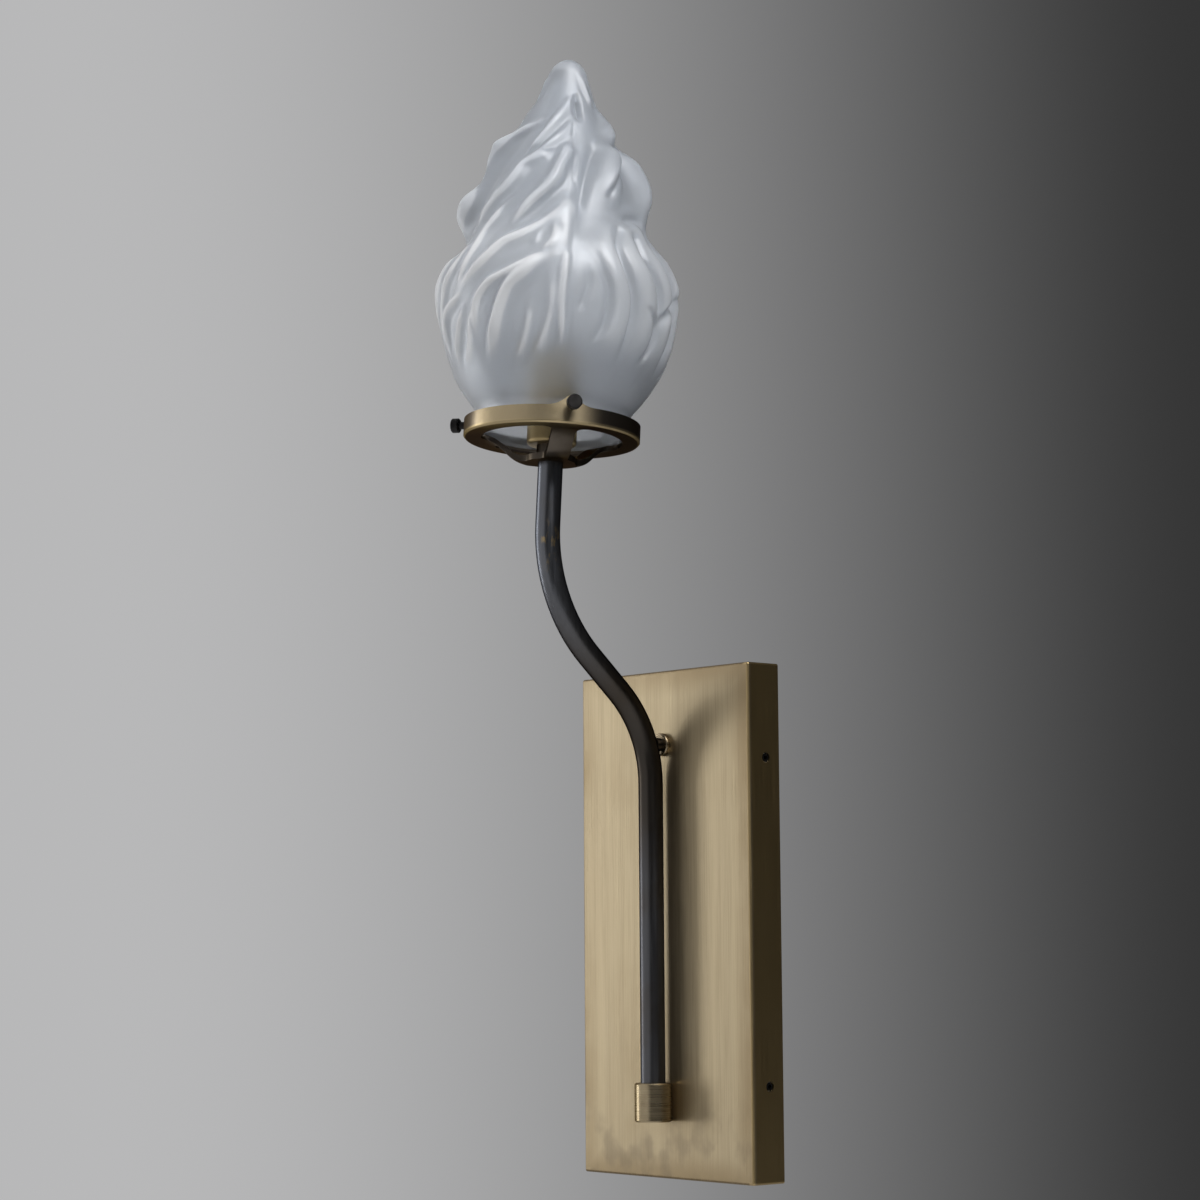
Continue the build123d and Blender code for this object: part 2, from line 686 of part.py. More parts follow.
def tongue_point(tongue, share, lift=0.0):
    """Point on a tongue's spine, a curve from its root past its bend to its tip, lifted off the body."""
    angle, height = (a * (1 - share) ** 2 + 2 * b * share * (1 - share) + c * share ** 2
                     for a, b, c in zip(*tongue[2:]))
    reach = body_radius(height) + lift
    across = head.x_dir * (reach * sin(radians(angle))) - head.y_dir * (reach * cos(radians(angle)))
    return shade_base.origin + across + head_axis * height


def tongue_sections(tongue):
    """Planes across a tongue, square to its spine, with the half width and depth of each section."""
    half_width, rise = tongue[:2]
    for share, width, lift in zip(tongue_shares, tongue_widths, tongue_lifts):
        crest = (rise + half_width * tongue_sink) * lift - half_width * tongue_sink
        depth = half_width * width * tongue_depth + max(crest, 0) * tongue_keel
        ahead = tongue_point(tongue, share + spine_step) - tongue_point(tongue, share - spine_step)
        spot = tongue_point(tongue, share, crest - depth)
        outward = spot - shade_base.origin
        outward = outward - head_axis * outward.dot(head_axis)
        yield Plane(origin=spot, x_dir=outward.cross(ahead), z_dir=ahead), half_width * width, depth


def flame_all_round():
    """The tongues, and a copy half a turn round of each that lies in the front."""
    for tongue in flame_tongues:
        yield tongue
        if all(flame_front[0] <= angle <= flame_front[1] for angle, height in tongue[2:]):
            yield (*tongue[:2], *((angle + 180, height) for angle, height in tongue[2:]))


# The shade: a turned body with tongues lofted along their spines, hollowed by a smooth inside
shade_base = head.offset(seat_height)
body_line = [(neck_radius + reach, seat_height + height) for height, reach in flame_body]
inner_line = [(r - shade_wall, h) for r, h in body_line if r > solid_radius]
crown_start = Vector(*body_line[-1]) - Vector(*body_line[-2])
apex = Vector(0, seat_height + flame_tip)
with BuildPart() as glass_shade:
    with BuildSketch(head_section):
        with BuildLine():
            neck = Line((neck_radius, seat_height), body_line[0])
            flank = Spline(*body_line, tangents=((0, 1), crown_start))
            crown_foot = flank @ 1
            shoulder = crown_foot + flank % 1 * (apex.Y - crown_foot.Y) * crown_fullness
            crown = Bezier(crown_foot, shoulder, (crown_foot.X * crown_fullness, apex.Y), apex)
            Polyline(crown @ 1, (0, seat_height), neck @ 0)
        make_face()
    revolve(axis=head_line)
    licks = []
    for tongue in flame_all_round():
        slices = []
        for plane, half_width, depth in tongue_sections(tongue):
            with BuildSketch(plane, mode=Mode.PRIVATE) as slice_of_tongue:
                Ellipse(half_width, depth)
            slices.append(slice_of_tongue.sketch)
        licks.append(loft(slices, mode=Mode.PRIVATE))
    add(licks)
    with BuildSketch(head_section):
        with BuildLine():
            bore = Line((inner_line[0][0], seat_height), inner_line[0])
            dome = Spline(*inner_line, tangents=((0, 1), (-1, 2)))
            Polyline(dome @ 1, (0, (dome @ 1).Y), (0, seat_height), bore @ 0)
        make_face()
    revolve(axis=head_line, mode=Mode.SUBTRACT)
write(glass_shade, "glass_shade")
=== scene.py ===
import json
import math

import bpy
import numpy as np
from mathutils import Matrix, Vector


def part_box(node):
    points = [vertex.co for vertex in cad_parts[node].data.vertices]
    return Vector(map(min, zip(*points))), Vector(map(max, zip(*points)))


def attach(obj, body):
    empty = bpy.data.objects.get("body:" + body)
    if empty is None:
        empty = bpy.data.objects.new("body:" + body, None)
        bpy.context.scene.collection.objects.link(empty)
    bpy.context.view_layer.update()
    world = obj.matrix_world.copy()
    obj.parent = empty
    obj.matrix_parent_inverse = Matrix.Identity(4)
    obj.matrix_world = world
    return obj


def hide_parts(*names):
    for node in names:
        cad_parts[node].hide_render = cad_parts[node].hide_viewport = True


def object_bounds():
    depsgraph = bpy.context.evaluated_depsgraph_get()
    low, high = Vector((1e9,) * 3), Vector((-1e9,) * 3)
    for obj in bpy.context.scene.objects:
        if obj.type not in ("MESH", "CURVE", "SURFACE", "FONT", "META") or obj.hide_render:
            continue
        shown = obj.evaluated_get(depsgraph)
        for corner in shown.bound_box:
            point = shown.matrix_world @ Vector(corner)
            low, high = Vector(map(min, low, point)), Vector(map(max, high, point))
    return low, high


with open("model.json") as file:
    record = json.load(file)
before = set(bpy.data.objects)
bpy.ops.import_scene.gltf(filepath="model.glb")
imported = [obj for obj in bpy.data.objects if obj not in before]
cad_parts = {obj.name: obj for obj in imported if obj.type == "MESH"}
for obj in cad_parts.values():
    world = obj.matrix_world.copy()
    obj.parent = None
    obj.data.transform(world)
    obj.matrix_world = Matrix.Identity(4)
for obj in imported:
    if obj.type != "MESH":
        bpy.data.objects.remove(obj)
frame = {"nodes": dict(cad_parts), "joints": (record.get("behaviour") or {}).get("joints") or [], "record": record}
cad_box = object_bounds()
nodes = frame["nodes"]
MM = 0.001

# The head of the light: its axis, and the foot of the shade on it
lift = next(j for j in frame["joints"] if j["name"] == "shade_lift")
socket = next(m for m in frame["record"]["mounts"] if m["name"] == "lamp_socket")
head_axis = Vector(lift["axis"]).normalized()
head_right = Vector((1, 0, 0))
head_back = head_axis.cross(head_right)
on_axis = Vector(socket["pos_m"])
foot_height = min((v.co - on_axis).dot(head_axis) for v in nodes["glass_shade"].data.vertices)
shade_foot = on_axis + head_axis * foot_height


def off_axis(point):
    """Distance of a point from the head's axis."""
    offset = point - on_axis
    return (offset - head_axis * offset.dot(head_axis)).length


# Flame shade: lengths in millimetres, heights above its foot, angles in degrees from the front towards +X
NECK_HEIGHT = 11.5
NECK_RADIUS = 39.5
FLAME_TIP = 199.6
CROWN_POWER = 1.5  # a higher power closes the crown more bluntly
RELIEF_START = (15, 34)  # heights over which the strokes grow out of the body
RELIEF_END = (186, 198)  # heights over which they die away below the tip
GLASS_WALL = 3.2
WALL_EXTRA = 1.6  # what the wall gains above the neck
WALL_EXTRA_START = (14, 40)  # heights over which it gains it
INSIDE_TOP_DROP = 12  # how far the inside ends below the tip
INSIDE_LEAST_RADIUS = 2.0
INSIDE_POLE_RISE = 1.0
FLAME_COLUMNS = 400
FLAME_ROWS = 270
INSIDE_ROWS = 70
OUTLINE_STEPS = 4000
SPINE_STEPS = 6  # steps along a stroke's spine for each of its points
TIP_SHARE_START = 0.7  # share of a stroke's length after which its tip sinks
STROKE_SHARPNESS = 3  # a higher power keeps crossing strokes closer to the higher one
LOBE_CREST, TIP_CREST, RIDGE_CREST, GROOVE_CREST = 2.0, 3.0, 1.5, 1.2  # lower powers make keener crests
BODY_BLUR = (2, 3)  # passes, and width in grid steps
SKIN_BLUR = (1, 1)
CREST_BLUR = (3, 5)
CREST_SPAN = 3.0  # range of height about the blurred skin that takes the crest value from 0 to 1
LEVEL_CREST = 0.5  # crest value of a surface without folds

# Radius of the body under the strokes, by height
BODY = (
    (0, 39.5), (11.5, 39.5), (16.5, 43.2), (24.5, 49), (37.5, 54.5), (52.5, 57.5), (65, 58.8),
    (77.5, 57.8), (88, 53.5), (97, 48), (106, 43.8), (115, 41), (125, 38), (134, 33.5), (142, 29),
    (150, 25), (158, 21.5), (166, 18.2), (174, 15.4), (182, 12.8), (190, 10.2),
)

# Strokes that shape the glass: rise, half width on the left and right of the spine, share of the length over
# which it rises, share of the rise that is left at the tip, and the spine as angles and heights

# Broad tongues
LOBES = (
    (6.0, 9, 9, 0.8, 0.9, ((-50, 30), (-44, 52), (-40, 72), (-37, 86))),
    (8.0, 14, 13, 0.3, 0.5, ((-52, 92), (-46, 108), (-41, 124), (-37, 138), (-34, 150), (-31, 166))),
    (5.5, 13, 6, 0.9, 0.8, ((40, 64), (49, 80), (54, 94), (56, 106))),
    (7.5, 12, 8, 0.6, 1.0, ((82, 104), (88, 120), (97, 136), (105, 143))),
    (12.5, 11, 13, 0.75, 1.0, ((106, 102), (122, 114), (133, 126), (140, 139), (142, 145))),
    (6.0, 8, 8, 0.6, 0.8, ((95, 142), (114, 154), (130, 161), (137, 166))),
    (3.0, 9, 9, 0.3, 0.7, ((74, 24), (83, 45), (84, 60), (79, 75), (76, 88), (79, 97))),
    (3.2, 9, 9, 0.3, 0.8, ((93, 24), (101, 45), (102, 60), (98, 75), (93, 88), (95, 99))),
    (3.4, 9, 9, 0.3, 0.9, ((110, 24), (120, 45), (121, 62), (116, 78), (109, 92), (108, 101))),
    (3.4, 9, 9, 0.3, 0.8, ((128, 24), (136, 45), (138, 62), (133, 80), (127, 96))),
    (3.4, 9, 9, 0.3, 0.8, ((148, 24), (154, 48), (153, 70), (147, 92))),
)

# Blunt tips of tongues that curl off the body
TIPS = (
    (6.5, 10, 9, 0.55, 1.0, ((-60, 98), (-50, 110), (-43, 118), (-40, 120))),
    (5.0, 9, 8, 0.55, 1.0, ((-52, 134), (-43, 143), (-37, 149), (-35, 151))),
    (3.2, 9, 9, 0.5, 1.0, ((146, 64), (142, 76), (139, 86), (137, 92))),
)

# Thin folds on the tongues
RIDGES = (
    (4.2, 5, 9, 0.3, 0.3, ((-24, 56), (-5, 66), (7, 75.5), (14, 82.5), (20, 88.5), (28, 92), (38, 97),
                           (46, 103), (56, 108))),
    (3.6, 4, 8, 0.3, 0.3, ((-20, 53), (-6, 69), (-2, 79), (0, 88), (0, 98), (4, 104.5), (8, 110),
                           (18, 116.5))),
    (4.4, 5, 9, 0.3, 0.8, ((-18, 92), (-13, 106), (-4, 115), (5, 121), (11, 128), (15, 135), (30, 140))),
    (3.9, 4, 8, 0.3, 0.1, ((-1, 25), (6, 40), (7, 53), (10, 60.5), (16, 66.5), (24, 70), (33, 74.5),
                           (41, 79), (49, 80.5))),
    (4.8, 4.4, 10, 0.3, 0.1, ((12, 23), (15, 35), (18, 44), (22, 55), (26, 63.5), (32, 69.5), (39, 75.5),
                              (48, 79.5))),
    (2.8, 3.5, 5, 0.3, 0.2, ((-11, 25), (0, 36), (3, 48), (5, 58))),
    (3.0, 3.5, 6, 0.3, 0.2, ((-18, 26), (-10, 40), (-6, 48), (-1, 60))),
    (3.4, 4, 6, 0.3, 0.2, ((-27, 28), (-23, 42), (-22, 52), (-17, 58), (-6, 62), (2, 67))),
    (3.4, 4.5, 7, 0.3, 0.4, ((-34, 30), (-27, 48), (-23, 62), (-22, 70), (-16, 80), (-12, 90))),
    (1.8, 3, 3, 0.3, 0.5, ((37, 83), (39, 92), (45, 100))),
    (1.8, 3, 3, 0.3, 0.5, ((38, 80), (46, 85.5), (48, 92.5), (46, 101))),
    (2.4, 5, 3, 0.3, 0.8, ((54, 30), (54, 44), (53.5, 56), (54, 68), (55, 79))),
    (1.8, 4, 7, 0.3, 0.3, ((33, 24), (42, 34), (46, 43), (48, 53), (48, 62), (47, 70))),
    (1.4, 4, 6, 0.3, 0.2, ((27, 24), (34, 35), (37, 46), (38, 58))),
    (5.2, 7, 6, 0.3, 0.9, ((16, 92), (24, 103), (31, 111), (39, 117.5), (45, 124), (49, 133), (54, 141))),
    (3.0, 3.5, 6, 0.3, 0.3, ((10, 138), (18, 147), (29, 156), (39, 163), (54, 173))),
    (2.8, 3.5, 6, 0.3, 0.3, ((14, 134), (22, 139.5), (30, 144), (41, 150), (55, 158))),
    (2.8, 3.5, 6, 0.3, 0.3, ((-22, 104), (-14, 112), (-6, 119), (0, 126))),
    (2.6, 3.5, 6, 0.3, 0.5, ((-32, 146), (-28, 153), (-12, 158), (8, 161))),
    (1.5, 3, 4, 0.3, 0.4, ((-20, 172), (-16, 182), (-24, 190))),
    (1.4, 3, 4, 0.3, 0.4, ((104, 170), (95, 180), (86, 190))),
)

# Grooves between the folds, which sink where the others rise
GROOVES = (
    (1.8, 3.5, 3, 0.3, 0.2, ((61, 50), (64, 58), (66, 66), (65, 75))),
    (3.0, 4, 4, 0.3, 0.2, ((66, 33), (74, 43), (77, 52), (77, 62), (74, 72), (69, 82))),
    (4.4, 4.5, 3, 0.3, 0.5, ((83, 24), (89, 35), (91.5, 47), (92, 56), (91, 65), (88, 73), (85, 81),
                             (84, 89), (89, 99))),
    (4.2, 4.5, 3, 0.3, 0.5, ((110, 52), (113, 61), (111, 70), (106, 78), (101, 86), (101, 96))),
    (3.6, 4.5, 3, 0.3, 0.4, ((98, 28), (108, 37), (111, 46), (109, 53), (102, 59))),
    (4.6, 5, 4, 0.7, 0.4, ((150, 80), (136, 73), (126, 67), (118, 60), (112, 53))),
    (3.4, 4.5, 3, 0.3, 0.4, ((122, 28), (129, 45), (131, 62), (127, 78), (118, 94))),
    (2.5, 5, 5, 0.3, 0.4, ((122, 110), (106, 108), (92, 104))),
    (3.0, 6, 6, 0.3, 0.6, ((60, 101), (63, 108), (65, 116), (68, 125), (75, 136), (84, 144))),
    (2.6, 3, 5, 0.3, 0.5, ((82, 114), (88, 121), (98, 131), (118, 144))),
    (1.5, 3, 3, 0.3, 0.3, ((60, 112), (62, 119), (60, 125))),
    (3.2, 4, 4, 0.3, 0.5, ((71, 160), (69.5, 167), (68, 175))),
    (0.6, 2.2, 2.2, 0.2, 0.5, ((57, 22), (57, 60), (58, 100), (60, 140), (62, 165))),  # mould seam
    (0.9, 3, 3, 0.3, 0.2, ((106, 20), (112, 31))),
    (0.9, 3, 3, 0.3, 0.2, ((90, 19), (92, 28))),
)
BACK_ANGLES = (-26, 126)  # strokes that lie between these angles come again on the far side


def smooth_curve(at, xs, ys):
    """Cubic curve through the points (xs, ys), read at each place."""
    xs = np.asarray(xs, float)
    ys = np.asarray(ys, float)
    slopes = np.gradient(ys, xs)
    i = np.clip(np.searchsorted(xs, at, side="right") - 1, 0, len(xs) - 2)
    span = xs[i + 1] - xs[i]
    t = np.clip((at - xs[i]) / span, 0, 1)
    rise = (1 + 2 * t) * (1 - t) ** 2 * ys[i] + t ** 2 * (3 - 2 * t) * ys[i + 1]
    return rise + span * (t * (1 - t) ** 2 * slopes[i] - t ** 2 * (1 - t) * slopes[i + 1])


def ease(value, start, end):
    """0 before start, 1 after end and a smooth step between."""
    t = np.clip((value - start) / (end - start), 0, 1)
    return t * t * (3 - 2 * t)


def body_radius(height):
    """Radius of the flame's body: its profile, closed by a round crown."""
    crown_foot, _ = BODY[-1]
    profile = smooth_curve(np.minimum(height, crown_foot), *zip(*BODY))
    up = np.clip((height - crown_foot) / (FLAME_TIP - crown_foot), 0, 1)
    return np.where(height < NECK_HEIGHT, NECK_RADIUS, profile) * np.sqrt(1 - up ** CROWN_POWER)


def row_heights(rows):
    """Heights that are evenly spaced along the body's outline."""
    fine = np.linspace(0, FLAME_TIP, OUTLINE_STEPS)
    steps = np.hypot(np.diff(fine), np.diff(body_radius(fine)))
    along = np.concatenate(([0], np.cumsum(steps)))
    return np.interp(np.linspace(0, along[-1], rows), along, fine)


def stroke_field(stroke, angles, heights, radii, crest):
    """How far one stroke lifts each point of the grid, with its own width on each side of its crest."""
    rise, left, right, growth, tip_share, spine = stroke
    knots = np.arange(len(spine))
    shares = np.linspace(0, len(spine) - 1, SPINE_STEPS * len(spine))
    spine_angles = smooth_curve(shares, knots, [p[0] for p in spine])
    spine_heights = smooth_curve(shares, knots, [p[1] for p in spine])
    field = np.zeros((len(heights), len(angles)))
    reach = max(left, right)
    above = heights > spine_heights.min() - reach
    below = heights < spine_heights.max() + reach
    rows = np.flatnonzero(above & below)
    scale = np.radians(np.maximum(radii[rows], reach))[:, None]
    level = heights[rows][:, None]
    nearest = np.full((len(rows), len(angles)), np.inf)
    lateral = np.zeros_like(nearest)
    progress = np.zeros_like(nearest)
    for k in range(len(shares) - 1):
        x = ((angles - spine_angles[k] + 180) % 360 - 180)[None, :] * scale
        y = level - spine_heights[k]
        dx = (spine_angles[k + 1] - spine_angles[k]) * scale
        dy = spine_heights[k + 1] - spine_heights[k]
        t = np.clip((x * dx + y * dy) / (dx * dx + dy * dy), 0, 1)
        off_x = x - t * dx
        off_y = y - t * dy
        far = np.hypot(off_x, off_y)
        closer = far < nearest
        nearest = np.where(closer, far, nearest)
        lateral = np.where(closer, dx * off_y - dy * off_x, lateral)
        progress = np.where(closer, (k + t) / (len(shares) - 1), progress)
    across = np.clip(nearest / np.where(lateral > 0, left, right), 0, 1)
    swell = ease(progress, 0, growth) * (1 - (1 - tip_share) * ease(progress, TIP_SHARE_START, 1))
    field[rows] = rise * swell * (1 - across ** crest) ** 2
    return field


def with_back(strokes):
    """The strokes, and a copy half a turn round of each that lies within the front."""
    low, high = BACK_ANGLES
    for stroke in strokes:
        yield stroke
        if all(low <= angle <= high for angle, _ in stroke[-1]):
            yield (*stroke[:-1], tuple((angle + 180, height) for angle, height in stroke[-1]))


def stroke_sum(strokes, angles, heights, radii, crest):
    """All strokes of a kind together, close to the highest of them at each point."""
    total = np.zeros((len(heights), len(angles)))
    for stroke in with_back(strokes):
        total += stroke_field(stroke, angles, heights, radii, crest) ** STROKE_SHARPNESS
    return total ** (1 / STROKE_SHARPNESS)


def blurred(field, passes, width):
    """The field smoothed over neighbouring rows and, all round, over columns."""
    for _ in range(passes):
        around = sum(np.roll(field, shift, axis=1) for shift in range(-width, width + 1))
        padded = np.pad(around, ((width, width), (0, 0)), mode="edge")
        field = sum(padded[k:k + len(field)] for k in range(2 * width + 1)) / (2 * width + 1) ** 2
    return field


def ring_points(angles, height, radius):
    """Points round the head's axis, in metres."""
    around = np.radians(angles)
    right = np.outer(np.sin(around) * radius, head_right)
    back = np.outer(-np.cos(around) * radius, head_back)
    return (right + back + np.array(head_axis) * height) * MM + np.array(shade_foot)


def flame_mesh():
    """The shade's mesh: the stroked outside, the smooth inside and the rim between them."""
    angles = np.arange(FLAME_COLUMNS) * 360.0 / FLAME_COLUMNS
    heights = row_heights(FLAME_ROWS)[:-1]
    radii = body_radius(heights)
    lobes = stroke_sum(LOBES, angles, heights, radii, LOBE_CREST)
    tips = stroke_sum(TIPS, angles, heights, radii, TIP_CREST)
    lifted = blurred(lobes + tips, *BODY_BLUR)
    lifted += stroke_sum(RIDGES, angles, heights, radii, RIDGE_CREST)
    sunk = stroke_sum(GROOVES, angles, heights, radii, GROOVE_CREST)
    fade = (ease(heights, *RELIEF_START) * (1 - ease(heights, *RELIEF_END)))[:, None]
    relief = (lifted - sunk) * fade
    outside = blurred(radii[:, None] + relief, *SKIN_BLUR)
    outside[heights < NECK_HEIGHT] = NECK_RADIUS
    crest = np.clip(LEVEL_CREST + (outside - blurred(outside, *CREST_BLUR)) / CREST_SPAN, 0, 1)

    inside_heights = row_heights(INSIDE_ROWS)
    inside_heights = inside_heights[inside_heights < FLAME_TIP - INSIDE_TOP_DROP]
    thickness = GLASS_WALL + WALL_EXTRA * ease(inside_heights, *WALL_EXTRA_START)
    inside_radii = np.maximum(body_radius(inside_heights) - thickness, INSIDE_LEAST_RADIUS)

    points = [ring_points(angles, h, outside[i]) for i, h in enumerate(heights)]
    points += [ring_points(angles, h, r) for h, r in zip(inside_heights, inside_radii)]
    inside_pole = inside_heights[-1] + INSIDE_POLE_RISE
    poles = [ring_points([0.0], FLAME_TIP, 0.0), ring_points([0.0], inside_pole, 0.0)]
    verts = np.concatenate(points + poles)

    n = FLAME_COLUMNS
    j = np.arange(n)
    nxt = (j + 1) % n
    faces = []
    for i in range(len(heights) - 1):
        faces += np.stack((i * n + j, i * n + nxt, (i + 1) * n + nxt, (i + 1) * n + j), 1).tolist()
    first = len(heights) * n
    for i in range(len(inside_heights) - 1):
        low, high = first + i * n, first + (i + 1) * n
        faces += np.stack((low + nxt, low + j, high + j, high + nxt), 1).tolist()
    faces += np.stack((nxt, j, first + j, first + nxt), 1).tolist()
    top, inner_top = len(verts) - 2, len(verts) - 1
    last_out = (len(heights) - 1) * n
    last_in = first + (len(inside_heights) - 1) * n
    faces += [[last_out + a, last_out + b, top] for a, b in zip(j, nxt)]
    faces += [[last_in + b, last_in + a, inner_top] for a, b in zip(j, nxt)]

    mesh = bpy.data.meshes.new("flame_shade")
    mesh.from_pydata(verts.tolist(), [], faces)
    mesh.shade_smooth()
    values = np.full(len(verts), LEVEL_CREST, np.float32)
    values[:first] = crest.ravel()
    mesh.attributes.new("crest", "FLOAT", "POINT").data.foreach_set("value", values)
    etched = np.zeros(len(verts), np.float32)
    etched[:first] = 1.0
    etched[top] = 1.0
    mesh.attributes.new("etched", "FLOAT", "POINT").data.foreach_set("value", etched)
    mesh.update()
    return mesh


# Materials: colours as linear red, green and blue, lengths in metres
# A pair of lengths is where a change of tone begins and where it ends.
NOISE_ROUGHNESS = 0.55

PLATE_GRAIN = ((0.378, 0.301, 0.187), (0.466, 0.378, 0.244))
PLATE_STREAKS = (0.51, 0.416, 0.265)
PLATE_PATINA = (0.33, 0.25, 0.145)
PLATE_RIM = (0.29, 0.215, 0.12)
PLATE_RIM_REACH = (0.001, 0.016)  # in from the rim
PLATE_SMUDGE = (0.19, 0.15, 0.10)
PLATE_SMUDGE_REACH = (0.015, 0.05)  # up from the foot
# Painted shade on the sides of the box
PLATE_SIDE_SHADE = (0.25, 0.178, 0.075)
PLATE_SIDE_SHADE_REACH = (0.0008, 0.003)  # back from the front, where the painted shade of the sides sets in
PLATE_EDGE = (0.19, 0.135, 0.07)
PLATE_EDGE_REACH = (0.0005, 0.0018)
# Painted highlight along the edge at +X
PLATE_EDGE_HIGHLIGHT = (0.52, 0.385, 0.19)
PLATE_EDGE_HIGHLIGHT_REACH = (0.004, 0.0025)  # in from the side at +X

RING_RADIUS = 0.045
RIM_DEPTH = (1.4 * MM, 0.5 * MM)  # in from the ring's outside
GALLERY_CLOUDS = ((0.235, 0.200, 0.165), (0.140, 0.117, 0.094))
# Painted shade on the gallery's side away from the light
GALLERY_FAR_SHADE = (0.042, 0.035, 0.028)
FAR_SHADE_SIDE = (0.646, 0.763, 0.0)
FAR_SHADE_REACH = (-0.005, 0.03)
# Painted sheen on the gallery's side towards the front
GALLERY_SHEEN = (0.84, 0.675, 0.41)
SHEEN_SIDE = (0.574, -0.819, 0.0)
SHEEN_REACH = (0.030, 0.043)
# Painted shade under the gallery's band
GALLERY_UNDERSIDE_SHADE = (0.045, 0.036, 0.026)
UNDERSIDE_SHADE_REACH = (0.0002, 0.0006)  # up from the foot of the band
# Painted highlight along the band's lower outer edge
GALLERY_EDGE_HIGHLIGHT = (0.66, 0.52, 0.29)
EDGE_REACH = (0.0002, 0.0016)  # up from the foot of the band, where the painted highlight of its lower edge lies

LATHE_RINGS = ((0.46, 0.37, 0.235), (0.51, 0.415, 0.27))
LATHE_TARNISH = (0.20, 0.14, 0.075)

TUBE_GRAIN = ((0.175, 0.182, 0.201), (0.205, 0.212, 0.232))
TUBE_CLOUDS = (0.135, 0.112, 0.090)
TUBE_BROWNING = (0.055, 0.044, 0.032)
TUBE_BROWNED_FROM = (0.0, 0.08)  # heights over which the browning of the bend grows
TUBE_BROWNED_TO = (0.11, 0.19)  # heights over which it fades
TUBE_WORN = (0.56, 0.42, 0.22)
TUBE_WORN_FROM = (0.172, 0.19)  # heights over which the worn spots begin
TUBE_WORN_TO = (0.19, 0.206)  # heights over which they end
TUBE_WORN_SIDE = (0.001, 0.004)  # towards +X

GLASS_BODY = (0.89, 0.92, 0.96)
# Painted highlight on the crests, strongest on the lit side
GLASS_CREST_HIGHLIGHT = (0.99, 0.995, 1.0)
GLASS_LIT_SIDE = (-0.646, -0.763, 0.0)
GLASS_LIT_REACH = (-0.04, 0.03)
GLASS_CLOUDS = (0.80, 0.835, 0.88)
# Painted shade towards the top of the glass
GLASS_TOP_SHADE = (0.68, 0.72, 0.775)
GLASS_TOP_SHADE_FROM = (0.08, 0.14)  # heights over which the painted shade of the top begins
GLASS_FOOT_TO = (0.02, 0.055)  # heights over which the clearer foot ends


class Look:
    """A material in the making: its shader, and short ways to add and join nodes."""

    def __init__(self, name, **constants):
        self.material = bpy.data.materials.new(name)
        self.material.use_nodes = True
        self.tree = self.material.node_tree
        self.shader = self.tree.nodes["Principled BSDF"]
        for socket_name, value in constants.items():
            self.shader.inputs[socket_name.replace("_", " ")].default_value = value
        self.place = self.node("ShaderNodeTexCoord").outputs["Object"]

    def node(self, kind, **settings):
        made = self.tree.nodes.new(kind)
        for setting, value in settings.items():
            setattr(made, setting, value)
        return made

    def join(self, source, target):
        """Links a socket to an input, or sets the input to a constant."""
        if isinstance(source, bpy.types.NodeSocket):
            self.tree.links.new(source, target)
        else:
            target.default_value = source

    def noise(self, scale, stretch=(1, 1, 1), *, detail, shift=(0, 0, 0)):
        """Noise over the object's own place, with its axes stretched and shifted."""
        mapping = self.node("ShaderNodeMapping")
        mapping.inputs["Location"].default_value = shift
        mapping.inputs["Scale"].default_value = stretch
        self.join(self.place, mapping.inputs["Vector"])
        texture = self.node("ShaderNodeTexNoise")
        self.join(mapping.outputs["Vector"], texture.inputs["Vector"])
        texture.inputs["Scale"].default_value = scale
        texture.inputs["Detail"].default_value = detail
        texture.inputs["Roughness"].default_value = NOISE_ROUGHNESS
        return texture.outputs["Fac"]

    def span(self, value, low, high, to_low=0.0, to_high=1.0):
        """A smooth step of the value from one number to another between two limits."""
        ranged = self.node("ShaderNodeMapRange", interpolation_type="SMOOTHSTEP")
        self.join(value, ranged.inputs["Value"])
        limits = {"From Min": low, "From Max": high, "To Min": to_low, "To Max": to_high}
        for socket_name, limit in limits.items():
            ranged.inputs[socket_name].default_value = limit
        return ranged.outputs["Result"]

    def math(self, operation, a, b=0.0):
        step = self.node("ShaderNodeMath", operation=operation)
        self.join(a, step.inputs[0])
        self.join(b, step.inputs[1])
        return step.outputs["Value"]

    def mix(self, factor, a, b):
        """A blend of two colours, each an RGB triple or a socket."""
        blend = self.node("ShaderNodeMix", data_type="RGBA")
        self.join(factor, blend.inputs["Factor"])
        for colour, socket_name in ((a, "A"), (b, "B")):
            opaque = colour if isinstance(colour, bpy.types.NodeSocket) else (*colour, 1)
            self.join(opaque, blend.inputs[socket_name])
        return blend.outputs["Result"]

    def axes(self):
        split = self.node("ShaderNodeSeparateXYZ")
        self.join(self.place, split.inputs["Vector"])
        return split.outputs

    def along(self, direction, origin):
        """How far the surface lies from an origin in one direction."""
        offset = self.node("ShaderNodeVectorMath", operation="SUBTRACT")
        self.join(self.place, offset.inputs[0])
        offset.inputs[1].default_value = origin
        product = self.node("ShaderNodeVectorMath", operation="DOT_PRODUCT")
        self.join(offset.outputs["Vector"], product.inputs[0])
        product.inputs[1].default_value = direction
        return product.outputs["Value"]

    def colour(self, source):
        self.join(source, self.shader.inputs["Base Color"])

    def roughness(self, source):
        self.join(source, self.shader.inputs["Roughness"])

    def bump(self, height, distance):
        relief = self.node("ShaderNodeBump")
        relief.inputs["Distance"].default_value = distance
        self.join(height, relief.inputs["Height"])
        self.join(relief.outputs["Normal"], self.shader.inputs["Normal"])


